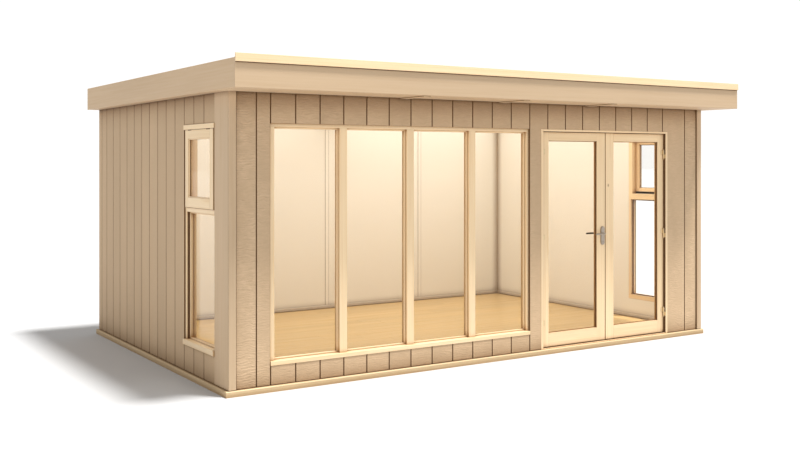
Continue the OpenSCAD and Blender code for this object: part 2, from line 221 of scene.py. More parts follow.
class Piece:
    """A mesh made of separate solid members. The vertex attribute "grain" holds a place in the member's own
    timber, with x along it, "tone" one random number a member, "hollow" is 1 where shade is painted, inside
    grooves and on the lines beside the lining's strips, and "ripple" is the strength of a board's ripples."""

    def __init__(self, name, face=WORLD):
        self.name = name
        self.face = face
        self.finish = 0
        self.hollow_from = None
        self.ripple_range = (0.0, 0.0)
        self.mesh = bmesh.new()
        self.grain = self.mesh.verts.layers.float_vector.new("grain")
        self.tone = self.mesh.verts.layers.float.new("tone")
        self.hollow = self.mesh.verts.layers.float.new("hollow")
        self.ripple = self.mesh.verts.layers.float.new("ripple")
        self.chance = random.Random(name)
        self.new_log()

    def new_log(self):
        """The next member comes from another place in another log."""
        reach = self.chance.uniform(0.03, 0.11)
        angle = self.chance.uniform(0, math.tau)
        self.log = Vector((self.chance.uniform(-40, 40), reach * math.cos(angle), reach * math.sin(angle)))
        self.shade = self.chance.random()
        self.strength = self.chance.uniform(*self.ripple_range)

    def vert(self, local, along, middle):
        """A vertex at (u, d, z), in timber that runs along one of those axes."""
        vert = self.mesh.verts.new(self.face.point(local))
        inside = [local[(along + i) % 3] - middle[(along + i) % 3] for i in range(3)]
        vert[self.grain] = Vector(inside) + self.log
        vert[self.tone] = self.shade
        vert[self.ripple] = self.strength
        if self.hollow_from is not None and local[D] >= self.hollow_from:
            vert[self.hollow] = 1.0
        return vert

    def skin(self, rings):
        """Closes a solid over rings of vertices."""
        faces = [self.mesh.faces.new(rings[0]), self.mesh.faces.new(rings[-1][::-1])]
        count = len(rings[0])
        for ring, after in zip(rings, rings[1:]):
            for i in range(count):
                j = (i + 1) % count
                faces.append(self.mesh.faces.new((ring[i], ring[j], after[j], after[i])))
        for face in faces:
            face.material_index = self.finish

    def prism(self, outline, along, start, end, middle=None):
        """A solid with an outline in the two axes after along, from start to end."""
        if middle is None:
            middle = spot(along, 0.0, *(sum(values) / len(outline) for values in zip(*outline)))
        rings = []
        for level in (start, end):
            rings.append([self.vert(spot(along, level, *point), along, middle) for point in outline])
        self.skin(rings)

    def bar(self, low, high, along, ease=EASE):
        """A straight timber between two corners, with rounded long edges."""
        a, b = (along + 1) % 3, (along + 2) % 3
        self.new_log()
        self.prism(eased(low[a], low[b], high[a], high[b], ease), along, low[along], high[along])

    def beam(self, u0, u1, d0, d1, z0, z1, along, ease=EASE):
        """A bar given by its start and end in u, d and z."""
        self.bar((u0, d0, z0), (u1, d1, z1), along, ease)

    def ring(self, low, high, normal, profile):
        """Four mitred lengths round an opening. The profile's points are (distance in, level)."""
        a, b = (normal + 1) % 3, (normal + 2) % 3
        corners = ((low[a], low[b], 1, 1), (high[a], low[b], -1, 1),
                   (high[a], high[b], -1, -1), (low[a], high[b], 1, -1))
        for side in range(4):
            along = (a, b)[side % 2]
            self.new_log()
            rings = []
            for place_a, place_b, way_a, way_b in (corners[side], corners[(side + 1) % 4]):
                middle = spot(normal, profile[0][1], place_a, place_b)
                middle[along] = 0.0
                ring = []
                for inset, level in profile:
                    local = spot(normal, level, place_a + way_a * inset, place_b + way_b * inset)
                    ring.append(self.vert(local, along, middle))
                rings.append(ring)
            self.skin(rings)

    def lathe(self, centre, axis, profile, steps=28):
        """A turned solid. The profile's points are (radius, distance along the axis)."""
        turn = UP.rotation_difference(Vector(axis)).to_matrix()
        rings = []
        for radius, height in profile:
            angles = [math.tau * i / steps for i in range(steps)]
            places = [Vector((radius * math.cos(t), radius * math.sin(t), height)) for t in angles]
            rings.append([self.mesh.verts.new(centre + turn @ place) for place in places])
        self.skin(rings)

    def sweep(self, path, sizes, steps=20):
        """A solid along a level path, with an oval section (half width, half height) at each point."""
        rings = []
        for i, (place, size) in enumerate(zip(path, sizes)):
            ahead = path[min(i + 1, len(path) - 1)] - path[max(i - 1, 0)]
            side = ahead.normalized().cross(UP)
            ring = []
            for k in range(steps):
                angle = math.tau * k / steps
                offset = side * size[0] * math.cos(angle) + UP * size[1] * math.sin(angle)
                ring.append(self.mesh.verts.new(place + offset))
            rings.append(ring)
        self.skin(rings)

    def done(self, slot, *materials, nodes=(), body="pod", smooth=False):
        """Makes the object, and sets what it rides on, its finish and what it stands for."""
        bmesh.ops.recalc_face_normals(self.mesh, faces=self.mesh.faces)
        for face in self.mesh.faces:
            face.smooth = smooth
        data = bpy.data.meshes.new(self.name)
        self.mesh.to_mesh(data)
        self.mesh.free()
        for material in materials:
            data.materials.append(material)
        if smooth:
            data.set_sharp_from_angle(angle=math.radians(35))
        obj = linked(self.name, data)
        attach(obj, body)
        if nodes:
            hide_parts(*nodes)


def linked(name, data):
    """A new object in the scene."""
    obj = bpy.data.objects.new(name, data)
    bpy.context.scene.collection.objects.link(obj)
    return obj


def boards(name, node, along, ease, slot, material, face=WORLD):
    """A piece that stands for a CAD node, with one bar over each of its solids."""
    piece = Piece(name, face)
    for low, high in face.solids(node):
        piece.bar(low, high, along, ease)
    piece.done(slot, material, nodes=[node])


def eased(a0, b0, a1, b1, radius=EASE, steps=3):
    """A rectangle with rounded corners, as points (a, b)."""
    radius = min(radius, (a1 - a0) / 2.01, (b1 - b0) / 2.01)
    points = []
    for quarter in range(4):
        centre_a = a1 - radius if quarter in (0, 3) else a0 + radius
        centre_b = b1 - radius if quarter in (0, 1) else b0 + radius
        for i in range(steps + 1):
            angle = (quarter + i / steps) * math.pi / 2
            points.append((centre_a + radius * math.cos(angle), centre_b + radius * math.sin(angle)))
    return points


# ---- materials ----

def tint(red, green, blue):
    return (red, green, blue, 1.0)


class Nodes:
    """A node tree and the calls that add to it. Each call returns the new node's output."""

    def __init__(self, tree):
        self.nodes = tree.nodes
        self.links = tree.links

    def put(self, socket, value):
        if isinstance(value, bpy.types.NodeSocket):
            self.links.new(value, socket)
        else:
            socket.default_value = value

    def add(self, kind, inputs, output=0, **settings):
        node = self.nodes.new("ShaderNode" + kind)
        for name, value in settings.items():
            setattr(node, name, value)
        for name, value in inputs.items():
            self.put(node.inputs[name], value)
        return node.outputs[output]


class Shader(Nodes):
    """A material and its surface."""

    def __init__(self, name, **values):
        self.material = bpy.data.materials.new(name)
        self.material.use_nodes = True
        super().__init__(self.material.node_tree)
        self.surface = self.nodes["Principled BSDF"]
        self.set(**values)

    def set(self, **values):
        """Sets or links sockets of the surface, with _ for each space in their names."""
        for name, value in values.items():
            self.put(self.surface.inputs[name.replace("_", " ")], value)

    def grain(self):
        return self.add("Attribute", {}, 1, attribute_name="grain")

    def number(self, name):
        return self.add("Attribute", {}, 2, attribute_name=name)

    def place(self):
        return self.add("TexCoord", {}, 3)

    def stretch(self, vector, x, y, z):
        return self.add("VectorMath", {0: vector, 1: (x, y, z)}, operation="MULTIPLY")

    def shift(self, vector, offset, amount):
        """Moves a vector by a noise colour, centred on nothing, times amount along each axis."""
        centred = self.add("VectorMath", {0: offset, 1: (0.5, 0.5, 0.5)}, operation="SUBTRACT")
        return self.add("VectorMath", {0: centred, 1: amount, 2: vector}, operation="MULTIPLY_ADD")

    def noise(self, vector, scale=1.0, detail=2.0, rough=0.5, output=0):
        inputs = {"Vector": vector, "Scale": scale, "Detail": detail, "Roughness": rough}
        return self.add("TexNoise", inputs, output)

    def wave(self, vector, spacing, distortion, finer, **settings):
        """Bands or rings a spacing apart. Finer is the scale of the noise that bends them."""
        inputs = {"Vector": vector, "Scale": 0.314 / spacing, "Distortion": distortion}
        return self.add("TexWave", {**inputs, "Detail": 2.0, "Detail Scale": finer}, 1, **settings)

    def calc(self, operation, a, b):
        return self.add("Math", {0: a, 1: b}, operation=operation)

    def fit(self, value, low, high, new_low=0.0, new_high=1.0):
        ends = {"From Min": low, "From Max": high, "To Min": new_low, "To Max": new_high}
        return self.add("MapRange", {"Value": value, **ends})

    def mix(self, factor, a, b):
        return self.add("Mix", {0: factor, 2: a, 3: b})

    def blend(self, factor, a, b, kind="MIX"):
        return self.add("Mix", {0: factor, 6: a, 7: b}, 2, data_type="RGBA", blend_type=kind)

    def ramp(self, factor, *colours):
        """Evenly spaced colours over 0 to 1."""
        output = self.add("ValToRGB", {0: factor})
        elements = output.node.color_ramp.elements
        while len(elements) < len(colours):
            elements.new(0.5)
        for i, colour in enumerate(colours):
            elements[i].position = i / (len(colours) - 1)
            elements[i].color = colour
        return output

    def bright(self, colour, factor):
        """A colour times a number."""
        grey = self.add("CombineColor", {0: factor, 1: factor, 2: factor})
        return self.blend(1.0, colour, grey, "MULTIPLY")

    def vary(self, colour, value, low, high, least, most):
        """A colour times least to most, as value goes from low to high."""
        return self.bright(colour, self.fit(value, low, high, least, most))

    def shaded(self, colour, deep, reach, closed=0.3, clear=0.9):
        """Painted shade: a colour that turns towards colour times deep in corners and gaps, where little of
        the sky reaches.
        """
        room = self.add("AmbientOcclusion", {"Distance": reach}, 1, samples=8)
        return self.blend(self.fit(room, closed, clear), self.blend(1.0, colour, deep, "MULTIPLY"), colour)

    def bump(self, height, distance, strength=1.0):
        inputs = {"Height": height, "Distance": distance, "Strength": strength}
        self.put(self.surface.inputs["Normal"], self.add("Bump", inputs))


def growth_rings(s, grain, spacing, wander):
    """Growth rings of a log that runs along the grain, 0 to 1, drifting like real ones."""
    drift = s.noise(s.stretch(grain, 0.7, 5.0, 5.0), output=1)
    warped = s.shift(s.stretch(grain, 0.04, 1.0, 1.0), drift, (0.0, wander, wander))
    return s.wave(warped, spacing, 0.8, 1.5, wave_type="RINGS", rings_direction="X", wave_profile="SAW")


def knots(s, grain, share):
    """Small round knots, 1 in their middle, in a share of the cells."""
    bent = s.shift(s.stretch(grain, 0.55, 1.0, 1.0), s.noise(grain, 30.0, output=1), (0.01, 0.01, 0.01))
    distance = s.add("TexVoronoi", {"Vector": bent, "Scale": 7.0})
    cell = s.add("SeparateColor", {0: distance.node.outputs["Color"]})
    chosen = s.calc("LESS_THAN", cell, share)
    return s.calc("MULTIPLY", s.fit(distance, 0.085, 0.03), chosen)


# The colours that shaded() multiplies in as painted shade: for pine, and for the smooth stained boards.
PINE_IN_SHADE = tint(0.42, 0.27, 0.14)
STAIN_IN_SHADE = tint(0.42, 0.34, 0.26)


def timber(name, pale, middle, dark, spacing, figure, roughness,
           knot_share=0.0, relief=0.0003, deep=PINE_IN_SHADE):
    """Planed timber whose grain runs along each member, darkened as painted shade in corners and gaps."""
    s = Shader(name)
    grain = s.grain()
    rings = growth_rings(s, grain, spacing, 0.03)
    streaks = s.noise(s.stretch(grain, 1.3, 55.0, 55.0), 1.0, 3.0, 0.6)
    fibre = s.noise(s.stretch(grain, 14.0, 600.0, 600.0))
    lines = s.mix(figure, s.fit(streaks, 0.3, 0.72), rings)
    colour = s.ramp(lines, pale, middle, dark)
    cloud = s.noise(s.stretch(grain, 0.5, 3.0, 3.0))
    colour = s.vary(colour, cloud, 0.3, 0.7, 0.96, 1.04)
    colour = s.vary(colour, s.number("tone"), 0.0, 1.0, 0.955, 1.03)
    if knot_share:
        brown = tint(dark[0] * 0.42, dark[1] * 0.33, dark[2] * 0.26)
        colour = s.blend(s.calc("MULTIPLY", knots(s, grain, knot_share), 0.85), colour, brown)
    # Painted shade in corners, reveals and gaps.
    colour = s.shaded(colour, deep, 0.06)
    s.set(Base_Color=colour, Roughness=s.fit(streaks, 0.2, 0.8, roughness - 0.08, roughness + 0.1))
    s.bump(s.mix(0.6, fibre, rings), relief, 0.6)
    return s


def pine():
    s = timber("pine", tint(0.94, 0.72, 0.45), tint(0.90, 0.67, 0.40), tint(0.84, 0.59, 0.32),
               spacing=0.011, figure=0.35, knot_share=0.10, roughness=0.42)
    s.set(Coat_Weight=0.15, Coat_Roughness=0.3)
    return s.material


def base_timber():
    """Darker, rougher pine for the timbers round the base."""
    s = timber("base_timber", tint(0.72, 0.55, 0.325), tint(0.66, 0.485, 0.272), tint(0.55, 0.39, 0.204),
               spacing=0.013, figure=0.4, knot_share=0.10, roughness=0.62, relief=0.0006)
    return s.material


def floor_timber():
    s = timber("floor", tint(0.74, 0.52, 0.238), tint(0.69, 0.466, 0.20), tint(0.61, 0.392, 0.152),
               spacing=0.018, figure=0.35, knot_share=0.05, roughness=0.4)
    s.set(Coat_Weight=0.2, Coat_Roughness=0.25)
    return s.material


def smooth_cladding():
    s = timber("smooth_cladding", tint(0.60, 0.435, 0.275), tint(0.585, 0.42, 0.26), tint(0.56, 0.395, 0.24),
               spacing=0.02, figure=0.2, roughness=0.62, relief=0.0005, deep=STAIN_IN_SHADE)
    return s.material


def rippled_cladding():
    """Stained boards with fine wavy ripples across them, lighter towards the ground as painted light from the
    floor's bounce, and painted shade in the grooves, under the overhang and in corners."""
    s = Shader("rippled_cladding", Roughness=0.68, Specular_IOR_Level=0.3)
    grain = s.grain()
    sway = s.noise(s.stretch(grain, 9.0, 11.0, 11.0), output=1)
    bent = s.shift(grain, sway, (0.05, 0.0, 0.0))
    bands = s.wave(bent, 0.018, 1.6, 2.0, wave_type="BANDS", bands_direction="X", wave_profile="SIN")
    cells = s.fit(s.noise(s.stretch(bent, 70.0, 15.0, 15.0), 1.0, 3.0, 0.6), 0.3, 0.7)
    waves = s.mix(0.8, bands, cells)
    patches = s.fit(s.noise(s.stretch(grain, 3.5, 6.0, 6.0)), 0.35, 0.65, 0.4, 1.0)
    relief = s.calc("MULTIPLY", waves, s.calc("MULTIPLY", patches, s.number("ripple")))
    colour = s.ramp(relief, tint(0.535, 0.378, 0.23), tint(0.695, 0.50, 0.317))
    fine = s.noise(s.stretch(grain, 160.0, 60.0, 60.0), 1.0, 3.0)
    colour = s.vary(colour, fine, 0.25, 0.75, 0.97, 1.03)
    cloud = s.noise(s.stretch(grain, 0.8, 2.5, 2.5))
    colour = s.vary(colour, cloud, 0.3, 0.7, 0.965, 1.035)
    colour = s.vary(colour, s.number("tone"), 0.0, 1.0, 0.965, 1.03)
    # Lighter towards the ground: painted light from the floor's bounce.
    height = s.add("SeparateXYZ", {"Vector": s.place()}, 2)
    colour = s.vary(colour, height, 0.0, 2.2, 1.09, 0.965)
    # Painted shade under the overhang and in corners, then a painted contact shadow in tight corners.
    colour = s.shaded(colour, tint(0.36, 0.265, 0.165), 0.22, 0.4, 0.95)
    colour = s.shaded(colour, tint(0.34, 0.235, 0.135), 0.045, 0.35, 0.78)
    # Painted shade in the grooves.
    s.set(Base_Color=s.blend(s.number("hollow"), colour, tint(0.19, 0.10, 0.042)))
    s.bump(s.mix(0.12, relief, fine), 0.005, 0.8)
    return s.material


def lining_paint():
    s = Shader("lining_paint", Roughness=0.6)
    place = s.place()
    peel = s.noise(place, 300.0)
    cloud = s.noise(place, 1.3, 3.0)
    colour = s.ramp(cloud, tint(0.865, 0.80, 0.695), tint(0.895, 0.83, 0.725))
    colour = s.vary(colour, s.number("tone"), 0.0, 1.0, 0.99, 1.005)
    # Painted shade in the room's corners and at the foot of the walls.
    colour = s.shaded(colour, tint(0.42, 0.32, 0.22), 0.10, 0.45, 0.97)
    # Painted shadow on the lines beside the cover strips.
    s.set(Base_Color=s.blend(s.number("hollow"), colour, tint(0.42, 0.33, 0.26)))
    s.set(Roughness=s.fit(cloud, 0.3, 0.7, 0.52, 0.66))
    s.bump(peel, 0.0001, 0.3)
    return s.material


def roof_sheet():
    """Grey roofing sheet with mineral grains and faint weather stains."""
    s = Shader("roof_sheet")
    place = s.place()
    grains = s.add("TexVoronoi", {"Vector": place, "Scale": 420.0})
    speckle = s.noise(place, 260.0, 3.0, 0.7)
    stains = s.noise(s.stretch(place, 0.8, 0.5, 1.0), 1.6, 5.0, 0.6)
    colour = s.ramp(speckle, tint(0.035, 0.036, 0.038), tint(0.075, 0.076, 0.078), tint(0.14, 0.14, 0.14))
    s.set(Base_Color=s.vary(colour, stains, 0.3, 0.7, 0.75, 1.3))
    s.set(Roughness=s.fit(stains, 0.3, 0.7, 0.82, 0.95))
    s.bump(s.mix(0.5, grains, speckle), 0.0012, 0.8)
    return s.material


def satin_metal(name, dull, bright):
    s = Shader(name, Metallic=1.0)
    place = s.place()
    brush = s.noise(s.stretch(place, 60.0, 60.0, 2200.0))
    smudge = s.noise(place, 45.0, 3.0)
    s.set(Base_Color=s.ramp(smudge, dull, bright))
    s.set(Roughness=s.mix(0.5, s.fit(brush, 0.3, 0.7, 0.26, 0.42), s.fit(smudge, 0.3, 0.7, 0.24, 0.4)))
    s.bump(brush, 0.00005, 0.4)
    return s.material


# Dark rubber for seals and keyholes, also used for dark strips that are painted shade in gaps and reveals.
def rubber_and_painted_shade():
    s = Shader("rubber_and_painted_shade")
    mottle = s.noise(s.place(), 90.0, 3.0)
    s.set(Base_Color=s.ramp(mottle, tint(0.105, 0.052, 0.024), tint(0.15, 0.08, 0.04)))
    s.set(Specular_IOR_Level=0.2)
    s.set(Roughness=s.fit(mottle, 0.3, 0.7, 0.55, 0.8))
    s.bump(mottle, 0.0003, 0.4)
    return s.material


def clear_glass():
    """Glass that lets light straight through, with reflections that grow at a glance."""
    s = Shader("clear_glass")
    smear = s.noise(s.place(), 3.0, 3.0)
    mirror = s.add("BsdfGlossy", {"Roughness": s.fit(smear, 0.3, 0.7, 0.0, 0.04)})
    through = s.add("BsdfTransparent", {"Color": tint(0.985, 0.98, 0.968)})
    facing = s.add("LayerWeight", {"Blend": 0.5}, 1)
    glance = s.fit(s.calc("POWER", facing, 5.0), 0.0, 1.0, 0.015, 0.6)
    mixed = s.add("MixShader", {0: glance, 1: through, 2: mirror})
    output = s.nodes["Material Output"]
    s.links.new(mixed, output.inputs["Surface"])
    s.nodes.remove(s.surface)
    return s.material


PINE = pine()
BASE = base_timber()
FLOOR = floor_timber()
SMOOTH = smooth_cladding()
RIPPLE = rippled_cladding()
LINING = lining_paint()
SHEET = roof_sheet()
STEEL = satin_metal("satin_steel", tint(0.36, 0.305, 0.25), tint(0.46, 0.40, 0.33))
DARK_STEEL = satin_metal("dark_steel", tint(0.035, 0.03, 0.025), tint(0.06, 0.05, 0.042))
YELLOW_STEEL = satin_metal("yellow_zinc_steel", tint(0.74, 0.56, 0.33), tint(0.82, 0.65, 0.40))
RUBBER_AND_SHADE = rubber_and_painted_shade()
GLASS = clear_glass()


# ---- walls ----

def board_plan(a, b, left, right):
    """Plan of a wall board, as (u, d), with half a groove at each side that has one."""
    half = GROOVE_W / 2
    side = [(0, GROOVE_D), (half, GROOVE_D), (half, GROOVE_D / 2), (half, EASE), (half + EASE, 0)]
    points = [(b, SKIN), (a, SKIN)]
    points += [(a + u, d) for u, d in side] if left else [(a, 0)]
    points += [(b - u, d) for u, d in side[::-1]] if right else [(b, 0)]
    return points


def panel_plan(a, b, left, right):
    """Plan of a lining panel with the wall's core behind it."""
    left_ease = EASE if left else 0
    right_ease = EASE if right else 0
    return [(a, SKIN), (b, SKIN), (b, WALL_T - right_ease), (b - right_ease, WALL_T),
            (a + left_ease, WALL_T), (a, WALL_T - left_ease)]


def clear_heights(u, openings, bottom):
    """The heights between bottom and the wall's top that no opening takes at u."""
    for start, end, low, high in openings:
        if start < u < end:
            return [(z0, z1) for z0, z1 in ((bottom, low), (high, TOP)) if z1 - z0 > SLIVER]
    return [(bottom, TOP)]


def uprights(piece, edges, openings, bottom, plan, strong=()):
    """Boards or panels side by side, each cut round the openings (u0, u1, z0, z1). The boards
    numbered in strong are fully rippled."""
    for i, (left, right) in enumerate(zip(edges, edges[1:])):
        piece.new_log()
        if i in strong:
            piece.strength = 1.0
        sides = [u for opening in openings for u in opening[:2]]
        cuts = [u for u in sides if left + SLIVER < u < right - SLIVER]
        cuts = [left, *sorted(cuts), right]
        middle = ((left + right) / 2, 0.0, 0.0)
        for a, b in zip(cuts, cuts[1:]):
            outline = plan(a, b, a == left and i > 0, b == right and i < len(edges) - 2)
            for z0, z1 in clear_heights((a + b) / 2, openings, bottom):
                piece.prism(outline, Z, z0, z1, middle)


def groove_run(start, end, first, last):
    """Groove places at the board pitch from first, up to the corner board's at last."""
    places = [first]
    while places[-1] + BOARD_PITCH < last - LEAST_BOARD:
        places.append(places[-1] + BOARD_PITCH)
    return [start, *places, last, end]


def opening_of(face, *names):
    """(u0, u1, z0, z1) around the solids of these nodes."""
    boxes = [face.node(name) for name in names]
    return (min(low.x for low, high in boxes), max(high.x for low, high in boxes),
            min(low.z for low, high in boxes), max(high.z for low, high in boxes))


FRONT_OPENINGS = [
    opening_of(FRONT_FACE, "front_window_sill", "front_window_head"),
    opening_of(FRONT_FACE, "door_jambs"),
]
END_OPENINGS = {side: [opening_of(face, side + "_window_boards")] for side, face in ENDS}


def wall_boards(name, face, ripples):
    """A piece for grooved boards, with the least and most strength of their ripples."""
    piece = Piece(name, face)
    piece.hollow_from = GROOVE_D / 2
    piece.ripple_range = ripples
    return piece


def front_cladding():
    piece = wall_boards("front_wall_boards", FRONT_FACE, (0.4, 0.75))
    window = FRONT_OPENINGS[0]
    trim = solids("front_corner_trims")[0]
    beside_trim = trim[1].x + TRIM_GAP - LEFT
    edges = groove_run(LEFT + SKIN, RIGHT - beside_trim, window[0], RIGHT - FRONT_END_BOARD)
    edges[1:1] = [LEFT + beside_trim, LEFT + FRONT_END_BOARD]
    edges.append(RIGHT - SKIN)
    strong = (1, len(edges) - 3)
    uprights(piece, edges, FRONT_OPENINGS, BOARD_FOOT, board_plan, strong)
    nodes = ["front_wall_piers", "front_wall_header", "front_wall_under_window"]
    piece.done("cladding", RIPPLE, nodes=nodes)


def back_cladding():
    piece = wall_boards("back_wall_boards", BACK_FACE, (0.25, 0.6))
    edges = groove_run(LEFT + SKIN, RIGHT - SKIN, LEFT + BACK_END_BOARD, RIGHT - BACK_END_BOARD)
    uprights(piece, edges, [], BOARD_FOOT, board_plan)
    piece.done("cladding", RIPPLE, nodes=["back_wall"])


def end_cladding(side, face):
    """The first board, up to the window, is smooth. The rest are rippled."""
    openings = END_OPENINGS[side]
    piece = wall_boards(side + "_wall_boards", face, (0.05, 0.2))
    edges = groove_run(FRONT, BACK, openings[0][0], BACK - BACK_END_BOARD)
    uprights(piece, edges[1:], openings, BOARD_FOOT, board_plan)
    piece.finish = 1
    uprights(piece, edges[:2], [], BOARD_FOOT, board_plan)
    nodes = [side + name for name in ("_wall", "_wall_pier", "_wall_window_panels")]
    piece.done("cladding", RIPPLE, SMOOTH, nodes=nodes)


def corner_trims():
    piece = Piece("corner_trim_boards")
    for low, high in solids("front_corner_trims"):
        piece.bar(low + Vector((0, 0, BOARD_LIFT)), high, Z, FACE_EASE)
    piece.done("cladding", SMOOTH, nodes=["front_corner_trims"])


def foot_strip():
    """A dark strip behind the shadow gap at the foot of the boards, painted shade in that gap."""
    piece = Piece("wall_foot_strip")
    piece.ring((LEFT, FRONT, 0), (RIGHT, BACK, 0), Z, flat(GROOVE_D, SKIN, BOTTOM, BOTTOM + 2 * BOARD_LIFT))
    piece.done("cladding", RUBBER_AND_SHADE)


# ---- inside ----

def panel_edges(start, end):
    """Panel joints a pitch apart, counted from the middle."""
    middle = (start + end) / 2
    count = int((end - start) / 2 / PANEL_PITCH)
    joints = [middle + i * PANEL_PITCH for i in range(-count, count + 1)]
    return [start, *joints, end]


def wall_lining(side, face, start, end, openings, jointed=True):
    """Lining panels, with a cover strip over each joint and a painted shadow line along each side of it."""
    piece = Piece(side + "_wall_lining", face)
    edges = panel_edges(start, end) if jointed else [start, end]
    uprights(piece, edges, openings, BOTTOM, panel_plan)
    for joint in edges[1:-1]:
        a, b = joint - STRIP_W / 2, joint + STRIP_W / 2
        for z0, z1 in clear_heights(joint, openings, BOTTOM):
            piece.beam(a, b, WALL_T, WALL_T + STRIP_T, z0, z1, Z)
            # The lines beside the strip are painted shadow.
            piece.hollow_from = 0.0
            for u in (a - STRIP_LINE, b):
                piece.beam(u, u + STRIP_LINE, WALL_T, WALL_T + STRIP_T / 4, z0, z1, Z, HAIR_EASE)
            piece.hollow_from = None
    piece.done("lining", LINING)


def skirting():
    """Low skirting along the lining, broken at the doorway."""
    z0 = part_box("floor_boards")[1].z + SKIRTING_LIFT
    door = FRONT_OPENINGS[1]
    runs = [
        (FRONT_FACE, ROOM_X0, door[0]),
        (FRONT_FACE, door[1], ROOM_X1),
        (BACK_FACE, ROOM_X0, ROOM_X1),
        (LEFT_FACE, ROOM_Y0, ROOM_Y1),
        (RIGHT_FACE, ROOM_Y0, ROOM_Y1),
    ]
    piece = Piece("skirting")
    for face, start, end in runs:
        piece.face = face
        piece.beam(start, end, WALL_T, WALL_T + SKIRTING_T, z0, z0 + SKIRTING_H, U, FACE_EASE)
    piece.done("lining", LINING)


def ceiling():
    """Ceiling panels with cover strips, and the core of the roof above them."""
    low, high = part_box("roof_panel")
    piece = Piece("ceiling_lining")
    edges = panel_edges(ROOM_X0, ROOM_X1)
    for a, b in zip(edges, edges[1:]):
        piece.beam(a, b, ROOM_Y0, ROOM_Y1, low.z, low.z + SOFFIT_T, D)
    for joint in edges[1:-1]:
        piece.beam(joint - STRIP_W / 2, joint + STRIP_W / 2, ROOM_Y0, ROOM_Y1, low.z - STRIP_T, low.z, D)
    piece.beam(low.x, high.x, low.y, high.y, low.z + SOFFIT_T, high.z, U)
    piece.done("lining", LINING)


def floor():
    """Planks along the room, with staggered ends."""
    low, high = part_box("floor_boards")
    piece = Piece("floor_planks")
    rows = round((high.y - low.y) / PLANK_W)
    width = (high.y - low.y) / rows
    for row in range(rows):
        y0 = low.y + row * width + PLANK_GAP / 2
        y1 = low.y + row * width + width - PLANK_GAP / 2
        ends = [low.x]
        place = low.x + piece.chance.uniform(FIRST_PLANK, PLANK_L)
        while place < high.x - LAST_PLANK:
            ends.append(place)
            place += PLANK_L
        ends.append(high.x)
        for x0, x1 in zip(ends, ends[1:]):
            piece.beam(x0, x1 - PLANK_GAP, y0, y1, low.z, high.z, U)
    piece.done("floor", FLOOR, nodes=["floor_boards"])


def bevelled(edge, inner, bottom, top):
    """Outline of a base timber, as (place, height), with a bevel along its outer top edge."""
    return [(edge, bottom), (edge, top - BASE_BEVEL), (edge + BASE_BEVEL, top), (inner, top), (inner, bottom)]


def base():
    """Four bevelled timbers round the base, with the deck between them."""
    low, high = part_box("base_plate")
    inner_low = Vector((LEFT + SKIN, FRONT + SKIN, low.z))
    inner_high = Vector((RIGHT - SKIN, BACK - SKIN, high.z))
    front = bevelled(low.y, inner_low.y, low.z, high.z)
    back = [(-y + low.y + high.y, z) for y, z in front]
    left = [(z, x) for x, z in bevelled(low.x, inner_low.x, low.z, high.z)]
    right = [(z, -x + low.x + high.x) for z, x in left]
    piece = Piece("base_timbers")
    for outline in (front, back):
        piece.new_log()
        piece.prism(outline, U, low.x, high.x)
    for outline in (left, right):
        piece.new_log()
        piece.prism(outline, D, inner_low.y, inner_high.y)
    piece.bar(inner_low, inner_high, U)
    piece.done("pine", BASE, nodes=["base_plate"])


# ---- roof ----

def fascias():
    for name in ("front_fascia", "back_fascia", "left_fascia", "right_fascia"):
        low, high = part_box(name)
        along = U if high.x - low.x > high.y - low.y else D
        boards(name + "_board", name, along, FACE_EASE, "cladding", SMOOTH)


def roof_strip():
    """The pale strip along the top of the front fascia, and a dark strip under it that is painted shadow."""
    boards("front_strip_timber", "front_roof_strip", U, EASE, "pine", PINE)
    low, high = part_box("front_roof_strip")
    shade_line_low = (low.x + STRIP_SHADE, high.y - STRIP_SHADE, low.z - STRIP_SHADE)
    shade_line = Piece("front_strip_seal")
    shade_line.bar(shade_line_low, (high.x - STRIP_SHADE, high.y + EASE, low.z + EASE), U)
    shade_line.done("membrane", RUBBER_AND_SHADE)


def soffit():
    """Boards under the overhang, and the battens over their joints."""
    low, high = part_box("roof_panel")
    z1 = low.z + SOFFIT_T
    front, back = FRONT + WALL_T / 2, BACK - WALL_T / 2
    joints = [(start.x + end.x) / 2 for start, end in solids("soffit_battens")]
    edges = [low.x, *joints, high.x]
    piece = Piece("soffit_boards")
    for a, b in zip(edges, edges[1:]):
        piece.beam(a, b, low.y, front, low.z, z1, U)
    piece.beam(low.x, high.x, back, high.y, low.z, z1, U)
    for a, b in ((low.x, LEFT + WALL_T / 2), (RIGHT - WALL_T / 2, high.x)):
        piece.beam(a, b, front, back, low.z, z1, D)
    piece.done("cladding", SMOOTH, nodes=["roof_panel"])
    boards("soffit_cover_battens", "soffit_battens", D, EASE, "cladding", SMOOTH)


def roof_cover():
    """Lapped roofing sheets, dressed up over a fillet against the edge boards."""
    low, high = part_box("roof_membrane")
    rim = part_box("left_fascia")[1].z - RIM_DROP
    piece = Piece("roof_sheets")
    count = round((high.x - low.x) / SHEET_W)
    width = (high.x - low.x) / count
    for i in range(count):
        x = low.x + i * width
        piece.beam(x, x + width, low.y, high.y, low.z, high.z, D)
        if i:
            piece.beam(x - LAP_W / 2, x + LAP_W / 2, low.y, high.y, high.z, high.z + LAP_T, D, LAP_T * 0.9)
    profile = [(0, high.z), (FILLET, high.z), (FILLET * 0.55, high.z + FILLET * 0.3),
               (UPSTAND_T, high.z + FILLET), (UPSTAND_T, rim), (0, rim)]
    piece.ring(low, high, Z, profile)
    piece.done("membrane", SHEET, nodes=["roof_membrane"])


# ---- glazing ----

